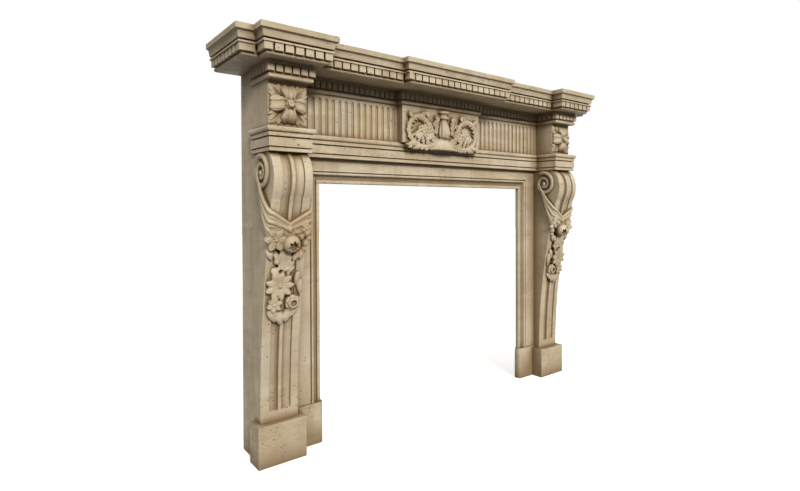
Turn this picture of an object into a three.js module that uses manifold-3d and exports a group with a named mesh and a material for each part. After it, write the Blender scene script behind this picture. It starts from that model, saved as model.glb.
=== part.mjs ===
// A carved stone chimneypiece: two console legs with rosette blocks, a fluted frieze with a carved
// tablet in the middle, and a dentil cornice under a breakfront shelf.
// Millimetres. The wall is the plane y = 0, the front faces -y, the floor is z = 0, the middle is x = 0.

import * as THREE from 'three';
import { mergeVertices } from 'three/addons/utils/BufferGeometryUtils.js';
import Module from 'manifold-3d';

const wasm = await Module();
wasm.setup();

// Open joint left between two neighbouring stones
const JOINT = 0.3;
// How far a cutting form reaches past the face that it cuts
const OVERCUT = 1;
// How far a carved or applied form sinks into the stone that carries it
const SINK = 4;

// Heights of the courses above the floor
const PLINTH_TOP = 139;
const JAMB_PLINTH_TOP = 149;
const OPENING_TOP = 946;
const ARCHITRAVE_BOTTOM = 1038;
const FRIEZE_BOTTOM = 1117.5;
const SOFFIT = 1322;
const SHELF_BOTTOM = 1369;
const TOP = 1411;

// Half widths, from the middle of the chimneypiece
const SHELF_HALF = 915;
const CENTRE_BREAK_HALF = 293.5;
const TABLET_HALF = 213;
const OPENING_HALF = 551;
const LEG_AXIS = 728.4;

// Half widths, from the middle of a leg
const LEG_HALF = 67.6;
const LEG_BREAK_HALF = 132;
const CAP_HALF = 83.5;
const CROWN_HALF = 82.2;
const PLINTH_HALF = 85.5;

// Distances in front of the wall
const SLAB_BACK = 97;
const LEG_BACK = 110;
const JAMB_FACE = 125;
const JAMB_PLINTH_FACE = 128.5;
const PANEL_FACE = 140;
const PANEL_CROWN = 156;
const TABLET_FACE = 173;
const TABLET_CROWN = 187;
const ARCHITRAVE_FACE = 158;
const PLINTH_FACE = 187;
const BLOCK_FACE = 236;
const CAP_FACE = 272.5;
const CROWN_FACE = 273.5;
const RECESS_SHELF = 288;
const CENTRE_SHELF = 317;
const LEG_SHELF = 346;
const RETURN_THICK = 46;

// Foot block of a jamb: how far it stands into the opening, and the radius of its front corner
const JAMB_PLINTH_PROUD = 6;
const JAMB_PLINTH_ROUND = 16;

// Moulding profiles from the bottom up, as [inset from the outermost line, height]
const SHELF_PROFILE = [
  [12, SHELF_BOTTOM],
  [10.5, 1377],
  [9.5, 1385],
  [8, 1390],
  [4, 1392.5],
  [0, 1393],
  [0, TOP],
];
const CORNICE_PROFILE = [
  [37, SOFFIT],
  [29, 1323],
  [26, 1326],
  [26, 1330],
  [31, 1335],
  [31, 1357],
  [12, 1357],
  [12, 1363],
  [22, 1363.5],
  [22, SHELF_BOTTOM - JOINT],
];
const CROWN_PROFILE = [
  [9, 1267],
  [5, 1270],
  [5, 1279],
  [9, 1282],
  [12.5, 1287],
  [12.5, 1311],
  [3, 1311],
  [3, SOFFIT - JOINT],
];
const CAP_PROFILE = [
  [9, ARCHITRAVE_BOTTOM],
  [9, 1049],
  [13, 1050],
  [13, 1053],
  [7, 1053.5],
  [7, 1081],
  [13, 1082],
  [13, 1085],
  [5.5, 1086],
  [5.5, 1097],
  [8, 1099],
  [2.5, 1101],
  [0, 1105],
  [0, 1112],
  [2.5, 1116],
  [8, FRIEZE_BOTTOM - JOINT],
];
// The moulding round the opening, as [distance from the opening's edge, distance in front of the wall]
const OPENING_PROFILE = [
  [0, SLAB_BACK],
  [0, 113],
  [2, 116],
  [13, 116],
  [14, 109],
  [20, 109],
  [26, 113],
  [30, 121],
  [32, 125.5],
  [35, 127],
  [39, 126.5],
  [41, 124],
  [41.5, 119],
  [44, 119],
  [44.5, JAMB_FACE],
  [48, JAMB_FACE],
  [48, SLAB_BACK],
];

// Rows of small square blocks: width, gap, lower and upper level, inset of their faces and of the ground
const CORNICE_DENTIL = { width: 27.5, gap: 5, low: 1334, high: 1358, face: 16, ground: 31 };
const CROWN_DENTIL = { width: 22.5, gap: 5, low: 1287, high: 1309, face: 0, ground: 12.5 };
const PANEL_DENTIL = { ...CROWN_DENTIL, width: 18.5 };

// Flutes of the frieze
const FLUTE_COUNT = 16;
const FLUTE_PITCH = 27.4;
const FLUTE_RADIUS = 7.2;
const FLUTE_TOP = 1254;
const FLUTE_SIDES = 8;
const FLUTE_INSET = 1;

// Rosette of a frieze block: its petals, and the leaves that reach for the corners between them
const ROSETTE = { petals: 4, radius: 66, thick: 24, leafLength: 86, leafWidth: 48, leafThick: 10 };

// Urn of the tablet, as [radius, height above the frieze's foot], and its depth as a share of its width
const URN_OUTLINE = [
  [0, -4],
  [74, -4],
  [66, 6],
  [30, 18],
  [20, 28],
  [30, 60],
  [38, 96],
  [24, 102],
  [24, 112],
  [30, 116],
  [30, 126],
  [0, 126],
];
const URN_SIDES = 8;
const URN_FLATNESS = 0.62;

// Leaf scroll of the tablet: its middle, where the stem starts and how far it turns, and at both ends of
// the stem its distance from the middle, its half width and its relief
const SCROLL_X = 118;
const SCROLL_RISE = 58;
const SCROLL_STEPS = 14;
const SCROLL_START = -2.5;
const SCROLL_SWEEP = 7.4;
const SCROLL_REACH = [70, 24];
const SCROLL_STEM = [11, 7];
const SCROLL_RELIEF = [15, 19];
const SCROLL_FLOWER = { petals: 5, radius: 26, thick: 14 };
// Leaves along the stem: every so many steps, their length at both ends of the stem, and their lean
const STEM_LEAF = { every: 5, length: [34, 22], width: 20, thick: 13, lean: Math.PI * 0.62 };
// Loose leaves beside the urn and at the tablet's foot
const TABLET_LEAVES = [
  { x: 52, rise: 74, length: 52, width: 26, angle: -0.5 },
  { x: 150, rise: 2, length: 46, width: 24, angle: -1.2 },
];
const TABLET_LEAF_THICK = 14;
const TABLET_LEAF_CURL = 3;

// Front of the console: a parabola for the shaft, an ellipse for the scroll at its head
const CONSOLE_FOOT = 160;
const CONSOLE_RISE = 123;
const SCROLL_AXIS = 952;
const SCROLL_DEPTH = 213;
const SCROLL_HALF_DEPTH = 70;
const SCROLL_HALF_HEIGHT = 92;
// Levels of the console's cross sections, and between which of them its front is fluted: the fluting
// stops over the plain foot and behind the carved drop
const CONSOLE_LEVELS = [172, 188, 330, 470, 484, 600, 700, 790, 804, 855, 905, 945, 980, 1008, 1026];
const FLUTED_RANGES = [[180, 475], [800, ARCHITRAVE_BOTTOM]];
// Fluting of the console's front, as [share of the half width, depth] from the middle outwards
const CONSOLE_FLUTING = [
  [0, 0],
  [0.14, 1],
  [0.175, 9],
  [0.32, 7],
  [0.58, 0],
];

// Side volute of the console
const VOLUTE_DEPTH = 193;
const VOLUTE_LEVEL = 968;
const VOLUTE_OUTER = 59;
const VOLUTE_EYE = 13;
const VOLUTE_TURNS = 1.7;
const VOLUTE_STEPS = 11;
const VOLUTE_RELIEF = 5;
const VOLUTE_WIDTH = 9;

// Draped cloth on the console from the volute's eye to the middle of the front: distance from the leg's
// middle, distance in front of the wall (0 where it lies on the front), level and width
const SWAG_STATIONS = [
  { across: LEG_HALF, depth: 192, level: 974, width: 10 },
  { across: LEG_HALF, depth: 206, level: 915, width: 32 },
  { across: LEG_HALF, depth: 230, level: 850, width: 58 },
  { across: LEG_HALF - 4, depth: 0, level: 810, width: 74 },
  { across: 42, depth: 0, level: 790, width: 62 },
  { across: 18, depth: 0, level: 776, width: 46 },
  { across: 0, depth: 0, level: 772, width: 40 },
];
const SWAG_FOLDS = 3;
// Relief of the folds, which is full where the cloth is this wide, and the way across them
const SWAG_RELIEF = 9;
const SWAG_FULL_WIDTH = 40;
const SWAG_FALL_SIDE = new THREE.Vector3(0, 0.55, -0.85);
const SWAG_FALL_FRONT = new THREE.Vector3(-0.3, 0.1, -1).normalize();

// The carved drop below the cloth; across is measured from the leg's middle towards its outer side.
// Fruit as [across, level, radius], the first one the large one
const DROP_FRUIT = [
  [-6, 746, 31],
  [-58, 762, 16],
  [-52, 724, 14],
  [32, 688, 13],
  [-10, 662, 15],
  [2, 496, 14],
];
const LARGE_FRUIT_LIFT = 0.45;
const SMALL_FRUIT_LIFT = 0.2;
// Leaves as [across, level, length, angle]
const DROP_LEAVES = [
  [2, 722, 44, 3.1],
  [44, 672, 36, 2.6],
  [-50, 624, 58, 3.4],
  [34, 520, 42, 2.7],
  [-30, 514, 40, -2.7],
];
const DROP_LEAF_BREADTH = 0.55;
const DROP_LEAF_THICK = 11;
const DROP_LEAF_CURL = 3;
// Flowers as [across, level, petals, radius, thickness]
const DROP_FLOWERS = [
  [50, 756, 6, 32, 14],
  [18, 602, 8, 48, 18],
  [34, 540, 5, 24, 13],
  [-26, 544, 6, 28, 22],
];

const STONE = { color: 0xcbb994, roughness: 0.78, metalness: 0 };

// Turns a closed geometry into a solid that can be joined and cut.
function solidOf(geometry) {
  const bare = new THREE.BufferGeometry();
  bare.setAttribute('position', geometry.getAttribute('position').clone());
  if (geometry.index) {
    bare.setIndex(geometry.index.clone());
  }
  const merged = mergeVertices(bare, 1e-3);
  return new wasm.Manifold(new wasm.Mesh({
    numProp: 3,
    vertProperties: Float32Array.from(merged.getAttribute('position').array),
    triVerts: Uint32Array.from(merged.index.array),
  }));
}

// Turns a solid back into a geometry.
function geometryOf(solid) {
  const mesh = solid.getMesh();
  const geometry = new THREE.BufferGeometry();
  geometry.setAttribute('position', new THREE.BufferAttribute(mesh.vertProperties.slice(), 3));
  geometry.setIndex(new THREE.BufferAttribute(mesh.triVerts.slice(), 1));
  return geometry;
}

// Joins solids into one; a pocket closed in between carved forms is filled with stone.
function join(solids) {
  const shells = wasm.Manifold.union(solids).decompose();
  return wasm.Manifold.union(shells.filter((shell) => shell.volume() > 0));
}

// A box between two corners.
function box(x0, x1, depth0, depth1, z0, z1) {
  const geometry = new THREE.BoxGeometry(Math.abs(x1 - x0), Math.abs(depth1 - depth0), Math.abs(z1 - z0));
  geometry.translate((x0 + x1) / 2, -(depth0 + depth1) / 2, (z0 + z1) / 2);
  return solidOf(geometry);
}

// Closes the end of a loft: the triangles of one ring, turned the way the ring runs.
function capTriangles(ring) {
  const normal = new THREE.Vector3();
  ring.forEach((point, i) => {
    const next = ring[(i + 1) % ring.length];
    normal.add(new THREE.Vector3().crossVectors(point, next));
  });
  normal.normalize();
  const across = new THREE.Vector3(normal.y, normal.z, normal.x).cross(normal).normalize();
  const along = new THREE.Vector3().crossVectors(normal, across);
  const flat = ring.map((point) => new THREE.Vector2(point.dot(across), point.dot(along)));
  return THREE.ShapeUtils.triangulateShape(flat, []);
}

// A closed solid through rings of points; each ring runs anticlockwise seen from the far end.
function loft(rings) {
  const count = rings[0].length;
  const positions = rings.flat().flatMap((point) => [point.x, point.y, point.z]);
  const index = [];
  for (let k = 0; k + 1 < rings.length; k += 1) {
    for (let i = 0; i < count; i += 1) {
      const a = k * count + i;
      const b = k * count + ((i + 1) % count);
      index.push(a, b, b + count, a, b + count, a + count);
    }
  }
  const last = (rings.length - 1) * count;
  for (const [a, b, c] of capTriangles(rings[0])) {
    index.push(a, c, b);
  }
  for (const [a, b, c] of capTriangles(rings[rings.length - 1])) {
    index.push(last + a, last + b, last + c);
  }
  const geometry = new THREE.BufferGeometry();
  geometry.setAttribute('position', new THREE.Float32BufferAttribute(positions, 3));
  geometry.setIndex(index);
  return solidOf(geometry);
}

// A plan: corners [x, distance from the wall], anticlockwise from above, and which edges are moulded.
function planOf(corners, moulded) {
  return { corners, moulded };
}

// The plan's corners after every moulded edge has moved in by the inset.
function insetCorners(plan, inset) {
  const count = plan.corners.length;
  const inward = plan.corners.map(([x, depth], i) => {
    const [nextX, nextDepth] = plan.corners[(i + 1) % count];
    const length = Math.hypot(nextX - x, nextDepth - depth);
    const shift = plan.moulded[i] ? inset : 0;
    return [(nextDepth - depth) / length * shift, -(nextX - x) / length * shift];
  });
  return plan.corners.map(([x, depth], i) => {
    const before = inward[(i + count - 1) % count];
    const after = inward[i];
    return [x + before[0] + after[0], depth + before[1] + after[1]];
  });
}

// A moulding that runs round a plan; grow swells it on every moulded side, for cutting neighbours clear.
function moulding(plan, profile, grow = 0) {
  return loft(profile.map(([inset, z]) => insetCorners(plan, inset - grow)
    .map(([x, depth]) => new THREE.Vector3(x, -depth, z))));
}

// Rows of dentils along the moulded edges of a plan.
function dentils(plan, size) {
  const face = insetCorners(plan, size.face);
  const count = face.length;
  const turn = (i) => {
    const [a, b, c] = [face[(i + count - 1) % count], face[i], face[(i + 1) % count]];
    return (b[0] - a[0]) * (c[1] - b[1]) - (b[1] - a[1]) * (c[0] - b[0]);
  };
  const relief = size.ground - size.face;
  const blocks = [];
  for (let i = 0; i < count; i += 1) {
    const next = (i + 1) % count;
    if (plan.moulded[i]) {
      const [x0, d0] = face[i];
      const [x1, d1] = face[next];
      const length = Math.hypot(x1 - x0, d1 - d0);
      const [ux, ud] = [(x1 - x0) / length, (d1 - d0) / length];
      const start = plan.moulded[(i + count - 1) % count] && turn(i) < 0 ? 0 : size.gap;
      const end = plan.moulded[next] && turn(next) < 0 ? 0 : size.gap;
      const run = length - start - end;
      const pieces = Math.max(1, Math.round((run + size.gap) / (size.width + size.gap)));
      const pitch = pieces > 1 ? (run - size.width) / (pieces - 1) : 0;
      for (let k = 0; k < pieces; k += 1) {
        const from = start + k * pitch;
        const to = from + size.width;
        const [ax, ad] = [x0 + ux * from, d0 + ud * from];
        const [bx, bd] = [x0 + ux * to + ud * (relief + 1), d0 + ud * to - ux * (relief + 1)];
        blocks.push(box(ax, bx, ad, bd, size.low, size.high));
      }
    }
  }
  return blocks;
}

// Plan of the shelf and cornice: end extensions, leg breakfronts, recesses and the centre breakfront.
function shelfPlan() {
  const legIn = LEG_AXIS - LEG_BREAK_HALF;
  const legOut = LEG_AXIS + LEG_BREAK_HALF;
  const right = [
    [CENTRE_BREAK_HALF, CENTRE_SHELF],
    [CENTRE_BREAK_HALF, RECESS_SHELF],
    [legIn, RECESS_SHELF],
    [legIn, LEG_SHELF],
    [legOut, LEG_SHELF],
    [legOut, RECESS_SHELF],
    [SHELF_HALF, RECESS_SHELF],
    [SHELF_HALF, 0],
  ];
  const left = right.map(([x, depth]) => [-x, depth]).reverse();
  const corners = [...left, ...right];
  return planOf(corners, corners.map((corner, i) => i < corners.length - 1));
}

// Plan of a moulding that wraps the outer side, the front and the inner side of the right leg.
function legPlan(half, face, innerBack = LEG_BACK) {
  const corners = [
    [LEG_AXIS - half, innerBack],
    [LEG_AXIS - half, face],
    [LEG_AXIS + half, face],
    [LEG_AXIS + half, LEG_BACK],
  ];
  return planOf(corners, [true, true, true, false]);
}

// Plan of a straight run with a moulded front.
function runPlan(x0, x1, face) {
  const corners = [[x0, SLAB_BACK], [x0, face], [x1, face], [x1, SLAB_BACK]];
  return planOf(corners, [false, true, false, false]);
}

// Plan of the tablet's crown, which returns at both ends.
function tabletPlan(back = SLAB_BACK) {
  const half = TABLET_HALF + TABLET_CROWN - TABLET_FACE;
  const corners = [[-half, back], [-half, TABLET_CROWN], [half, TABLET_CROWN], [half, back]];
  return planOf(corners, [true, true, true, false]);
}

// A small leaf or petal lying on local xy, pointing along +y, with a ridge that rises to +z.
function leaf(length, width, thick, curl = 0) {
  const stations = [[0, 0.5, 0.8], [0.6, 1, 1], [1, 0.1, 0.3]];
  return loft(stations.map(([share, broad, high]) => {
    const lift = curl * share * share;
    const half = broad * width / 2;
    return [
      new THREE.Vector3(0, length * share, lift + thick * high),
      new THREE.Vector3(half, length * share, lift - SINK),
      new THREE.Vector3(-half, length * share, lift - SINK),
    ];
  }));
}

function ball(radius, detail) {
  return solidOf(new THREE.IcosahedronGeometry(radius, detail));
}

// Puts a form made on local xy at a place on a surface: turned by an angle in the surface, facing out.
function placed(solid, place, angle = 0, tilt = 0) {
  const spin = new THREE.Matrix4().makeRotationZ(angle);
  const lean = new THREE.Matrix4().makeRotationX(tilt);
  const basis = new THREE.Matrix4().makeBasis(place.across, place.up, place.out).setPosition(place.at);
  const matrix = basis.multiply(spin).multiply(lean);
  const geometry = geometryOf(solid);
  geometry.applyMatrix4(matrix);
  return solidOf(geometry);
}

// A place on a flat vertical face.
function facePlace(x, depth, z) {
  return {
    at: new THREE.Vector3(x, -depth, z),
    across: new THREE.Vector3(1, 0, 0),
    up: new THREE.Vector3(0, 0, 1),
    out: new THREE.Vector3(0, -1, 0),
  };
}

// A flower as one star-shaped form: ridged petals that dip between each other and round the heart.
function flower(place, petals, radius, thick) {
  const rings = [
    [1, 0.5, -SINK, -SINK],
    [0.66, 0.34, thick, thick * 0.35],
    [0.2, 0.18, thick * 0.6, thick * 0.5],
  ];
  const points = petals * 2;
  return placed(loft(rings.map(([tip, dip, tipRise, dipRise]) => {
    const ring = [];
    for (let k = 0; k < points; k += 1) {
      const angle = k / points * Math.PI * 2 + Math.PI / 2;
      const reach = radius * (k % 2 === 0 ? tip : dip);
      const rise = k % 2 === 0 ? tipRise : dipRise;
      ring.push(new THREE.Vector3(Math.cos(angle) * reach, Math.sin(angle) * reach, rise));
    }
    return ring;
  })), place);
}

// The shelf: one slab with a cove under its edge.
function mantelShelf() {
  return moulding(shelfPlan(), SHELF_PROFILE);
}

// The cornice under the shelf with its dentils and flat soffit.
function dentilCornice() {
  const plan = shelfPlan();
  return join([moulding(plan, CORNICE_PROFILE), ...dentils(plan, CORNICE_DENTIL)]);
}

// The carved rosette: four curled petals over four leaves that reach for the corners, and a bud.
function rosette(x, depth, z) {
  const place = facePlace(x, depth, z);
  const { petals, radius, thick, leafLength, leafWidth, leafThick } = ROSETTE;
  const forms = [flower(place, petals, radius, thick)];
  for (let k = 0; k < petals; k += 1) {
    forms.push(placed(leaf(leafLength, leafWidth, leafThick), place, (k + 0.5) / petals * Math.PI * 2));
  }
  return forms;
}

// The square block of the right leg at frieze level, with its rosette and dentil crown.
function friezeBlock() {
  const bottom = FRIEZE_BOTTOM;
  const low = LEG_AXIS - LEG_HALF;
  const high = LEG_AXIS + LEG_HALF;
  const field = (bottom + CROWN_PROFILE[0][1]) / 2;
  return join([
    box(low, high, LEG_BACK, BLOCK_FACE, bottom, SOFFIT - JOINT),
    moulding(legPlan(CROWN_HALF, CROWN_FACE), CROWN_PROFILE),
    ...dentils(legPlan(CROWN_HALF, CROWN_FACE, PANEL_CROWN), CROWN_DENTIL),
    ...rosette(LEG_AXIS, BLOCK_FACE, field),
  ]);
}

// The moulded cap of the right leg's console.
function consoleCap(grow = 0) {
  return moulding(legPlan(CAP_HALF, CAP_FACE), CAP_PROFILE, grow);
}

// Space that the right leg needs at frieze level, joints included.
function friezeBlockClearance() {
  const low = LEG_AXIS - LEG_HALF - JOINT;
  return join([
    box(low, SHELF_HALF, 0, LEG_SHELF, FRIEZE_BOTTOM - OVERCUT, SOFFIT + OVERCUT),
    moulding(legPlan(CROWN_HALF, CROWN_FACE), CROWN_PROFILE, JOINT),
  ]);
}

// Space that the tablet needs, joints included.
function tabletClearance() {
  const half = TABLET_HALF + JOINT;
  return join([
    box(-half, half, 0, TABLET_CROWN, FRIEZE_BOTTOM - OVERCUT, SOFFIT + OVERCUT),
    moulding(tabletPlan(), CROWN_PROFILE, JOINT),
  ]);
}

// One flute: a round groove with a domed head.
function fluteCutter(x) {
  const dome = [
    [1, FRIEZE_BOTTOM - OVERCUT],
    [1, FLUTE_TOP - FLUTE_RADIUS * 0.7],
    [0.45, FLUTE_TOP],
  ];
  return loft(dome.map(([share, z]) => {
    const ring = [];
    for (let k = 0; k < FLUTE_SIDES; k += 1) {
      const angle = k / FLUTE_SIDES * Math.PI * 2;
      const reach = FLUTE_RADIUS * share;
      const depth = PANEL_FACE + FLUTE_INSET + Math.sin(angle) * reach;
      ring.push(new THREE.Vector3(x + Math.cos(angle) * reach, -depth, z));
    }
    return ring.reverse();
  }));
}

// The fluted slab on the right of the tablet, with its dentil crown.
function friezePanel() {
  const plan = runPlan(TABLET_HALF, LEG_AXIS - LEG_HALF, PANEL_CROWN);
  const middle = (TABLET_HALF + LEG_AXIS - LEG_HALF) / 2;
  const slab = join([
    box(TABLET_HALF, LEG_AXIS, SLAB_BACK, PANEL_FACE, FRIEZE_BOTTOM, SOFFIT - JOINT),
    moulding(plan, CROWN_PROFILE),
    ...dentils(plan, PANEL_DENTIL),
  ]);
  const cutters = [friezeBlockClearance(), tabletClearance()];
  for (let k = 0; k < FLUTE_COUNT; k += 1) {
    cutters.push(fluteCutter(middle + (k - (FLUTE_COUNT - 1) / 2) * FLUTE_PITCH));
  }
  return slab.subtract(join(cutters));
}

// The urn of the tablet, turned and half sunk into the slab.
function urn() {
  const outline = URN_OUTLINE.map(([radius, z]) => new THREE.Vector2(radius, z));
  const lathe = new THREE.LatheGeometry(outline, URN_SIDES);
  lathe.rotateX(Math.PI / 2);
  lathe.scale(1, URN_FLATNESS, 1);
  lathe.translate(0, -TABLET_FACE, FRIEZE_BOTTOM);
  return solidOf(lathe);
}

// A value part of the way between the two ends of a pair.
function between([first, last], share) {
  return first + (last - first) * share;
}

// The big leaf scroll beside the urn on the right: a spiral stem with leaves along it.
function scroll() {
  const centre = new THREE.Vector3(SCROLL_X, -TABLET_FACE, FRIEZE_BOTTOM + SCROLL_RISE);
  const forms = [];
  const rings = [];
  for (let k = 0; k <= SCROLL_STEPS; k += 1) {
    const share = k / SCROLL_STEPS;
    const angle = SCROLL_START + share * SCROLL_SWEEP;
    const outward = new THREE.Vector3(Math.cos(angle), 0, Math.sin(angle));
    const middle = centre.clone().addScaledVector(outward, between(SCROLL_REACH, share));
    const half = between(SCROLL_STEM, share);
    rings.push([
      middle.clone().addScaledVector(outward, -half).setY(-TABLET_FACE + SINK),
      middle.clone().setY(-TABLET_FACE - between(SCROLL_RELIEF, share)),
      middle.clone().addScaledVector(outward, half).setY(-TABLET_FACE + SINK),
    ]);
    if (k % STEM_LEAF.every === 1) {
      const length = between(STEM_LEAF.length, share);
      const form = leaf(length, STEM_LEAF.width, STEM_LEAF.thick, TABLET_LEAF_CURL);
      forms.push(placed(form, facePlace(middle.x, TABLET_FACE, middle.z), angle - STEM_LEAF.lean));
    }
  }
  forms.push(loft(rings));
  const { petals, radius, thick } = SCROLL_FLOWER;
  forms.push(flower(facePlace(centre.x, TABLET_FACE, centre.z), petals, radius, thick));
  for (const { x, rise, length, width, angle } of TABLET_LEAVES) {
    const form = leaf(length, width, TABLET_LEAF_THICK, TABLET_LEAF_CURL);
    forms.push(placed(form, facePlace(x, TABLET_FACE, FRIEZE_BOTTOM + rise), angle));
  }
  return forms;
}

// The tablet in the middle of the frieze: urn, leaf scrolls and a dentil crown.
function friezeTablet() {
  const scrolls = scroll();
  return join([
    box(-TABLET_HALF, TABLET_HALF, SLAB_BACK, TABLET_FACE, FRIEZE_BOTTOM, SOFFIT - JOINT),
    moulding(tabletPlan(), CROWN_PROFILE),
    ...dentils(tabletPlan(PANEL_CROWN), PANEL_DENTIL),
    urn(),
    ...scrolls,
    ...scrolls.map(mirrored),
  ]).subtract(box(-SHELF_HALF, SHELF_HALF, 0, LEG_SHELF, 0, FRIEZE_BOTTOM));
}

// The moulded architrave between the two caps.
function architrave() {
  const half = LEG_AXIS - LEG_HALF;
  const run = moulding(runPlan(-half, half, ARCHITRAVE_FACE), CAP_PROFILE);
  const cap = consoleCap(JOINT);
  return run.subtract(join([cap, mirrored(cap)]));
}

// The moulding round the opening: up one jamb, across, and down the other, mitred at the corners.
function openingMoulding() {
  const stops = [[-1, 0], [-1, 1], [1, 1], [1, 0]];
  return loft(stops.map(([side, above]) => OPENING_PROFILE.map(([out, depth]) => {
    const z = above ? OPENING_TOP + out : JAMB_PLINTH_TOP + JOINT;
    return new THREE.Vector3(side * (OPENING_HALF + out), -depth, z);
  }).reverse()));
}

// The lintel over the opening.
function lintel() {
  const half = LEG_AXIS - LEG_HALF - JOINT;
  const reach = OPENING_PROFILE[OPENING_PROFILE.length - 1][0];
  const top = ARCHITRAVE_BOTTOM - JOINT;
  const above = box(-half, half, 0, LEG_SHELF, OPENING_TOP, top);
  return join([
    box(-half, half, SLAB_BACK, JAMB_FACE, OPENING_TOP + reach - SINK, top),
    box(OPENING_HALF + reach - SINK, half, SLAB_BACK, JAMB_FACE, OPENING_TOP, top),
    box(-half, -OPENING_HALF - reach + SINK, SLAB_BACK, JAMB_FACE, OPENING_TOP, top),
    openingMoulding().intersect(above),
  ]);
}

// The right jamb: a plain slab with the opening moulding on its inner edge.
function jamb() {
  const outer = LEG_AXIS - LEG_HALF - JOINT;
  const reach = OPENING_PROFILE[OPENING_PROFILE.length - 1][0];
  const low = JAMB_PLINTH_TOP + JOINT;
  const high = OPENING_TOP - JOINT;
  const keep = box(0, outer, 0, LEG_SHELF, low, high);
  return join([
    box(OPENING_HALF + reach - SINK, outer, SLAB_BACK, JAMB_FACE, low, high),
    openingMoulding().intersect(keep),
  ]);
}

// The foot block of the right jamb, with its front corner rounded.
function jambPlinth() {
  const outline = new THREE.Shape();
  const inner = OPENING_HALF - JAMB_PLINTH_PROUD;
  const shoulder = LEG_AXIS - PLINTH_HALF - JOINT;
  const outer = LEG_AXIS - LEG_HALF - JOINT;
  const face = JAMB_PLINTH_FACE;
  const round = JAMB_PLINTH_ROUND;
  outline.moveTo(inner, -SLAB_BACK);
  outline.lineTo(inner, -face + round);
  outline.absarc(inner + round, -face + round, round, Math.PI, Math.PI * 1.5);
  outline.lineTo(shoulder, -face);
  outline.lineTo(shoulder, -JAMB_FACE);
  outline.lineTo(outer, -JAMB_FACE);
  outline.lineTo(outer, -SLAB_BACK);
  return solidOf(new THREE.ExtrudeGeometry(outline, {
    depth: JAMB_PLINTH_TOP,
    bevelEnabled: false,
    curveSegments: 5,
  }));
}

// The plinth block under the right console, notched round the jamb.
function consolePlinth() {
  const low = LEG_AXIS - PLINTH_HALF;
  const high = LEG_AXIS + PLINTH_HALF;
  const inner = LEG_AXIS - LEG_HALF;
  const notch = box(low - OVERCUT, inner, 0, JAMB_FACE + JOINT, -OVERCUT, PLINTH_TOP + OVERCUT);
  return box(low, high, LEG_BACK, PLINTH_FACE, 0, PLINTH_TOP).subtract(notch);
}

// The slab that closes the right side of the leg back to the wall.
function sideReturn() {
  const outer = LEG_AXIS + LEG_HALF;
  return box(outer - RETURN_THICK, outer, 0, LEG_BACK - JOINT, 0, SOFFIT - JOINT);
}

// How far the console's front stands from the wall at a level.
function consoleDepth(z) {
  const rise = (Math.min(z, SCROLL_AXIS) - PLINTH_TOP) / (SCROLL_AXIS - PLINTH_TOP);
  const shaft = z > SCROLL_AXIS ? 0 : CONSOLE_FOOT + CONSOLE_RISE * rise * rise;
  const swing = (z - SCROLL_AXIS) / SCROLL_HALF_HEIGHT;
  const head = Math.abs(swing) < 1 ? SCROLL_DEPTH + SCROLL_HALF_DEPTH * Math.sqrt(1 - swing * swing) : 0;
  return Math.max(shaft, head);
}

// A place on the console's front, a distance across from its middle line.
function consolePlace(across, z, lift = 0) {
  const slope = (consoleDepth(z + 2) - consoleDepth(z - 2)) / 4;
  const out = new THREE.Vector3(0, -1, -slope).normalize();
  const up = new THREE.Vector3(0, -slope, 1).normalize();
  const at = new THREE.Vector3(LEG_AXIS + across, -consoleDepth(z), z).addScaledVector(out, lift);
  return { at, across: new THREE.Vector3(1, 0, 0), up, out };
}

// The plain shape of the console: fluted front, flat sides and back.
function consoleBody() {
  const bottom = PLINTH_TOP + JOINT;
  const top = ARCHITRAVE_BOTTOM - JOINT;
  const levels = [bottom, ...CONSOLE_LEVELS, top];
  const half = [...CONSOLE_FLUTING, [1, 0]];
  const across = [...half.slice(1).reverse().map(([share, cut]) => [-share, cut]), ...half];
  return loft(levels.map((z) => {
    const full = FLUTED_RANGES.some(([from, to]) => z > from && z < to) ? 1 : 0;
    const front = consoleDepth(z);
    const ring = across.map(([share, cut]) => (
      new THREE.Vector3(LEG_AXIS + share * LEG_HALF, cut * full - front, z)
    ));
    ring.push(new THREE.Vector3(LEG_AXIS + LEG_HALF, -LEG_BACK, z));
    ring.push(new THREE.Vector3(LEG_AXIS - LEG_HALF, -LEG_BACK, z));
    return ring;
  }));
}

// The raised spiral on the outer side of the console.
function volute() {
  const rings = [];
  for (let k = 0; k <= VOLUTE_STEPS; k += 1) {
    const share = k / VOLUTE_STEPS;
    const angle = Math.PI / 2 + share * VOLUTE_TURNS * Math.PI * 2;
    const reach = VOLUTE_OUTER + (VOLUTE_EYE - VOLUTE_OUTER) * share;
    const at = (radius, proud) => new THREE.Vector3(
      LEG_AXIS + LEG_HALF + proud,
      -VOLUTE_DEPTH + Math.cos(angle) * radius,
      VOLUTE_LEVEL + Math.sin(angle) * radius,
    );
    const half = VOLUTE_WIDTH * (1 - share * 0.4) / 2;
    rings.push([at(reach + half, -SINK), at(reach - half, -SINK), at(reach, VOLUTE_RELIEF)]);
  }
  return loft(rings);
}

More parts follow.
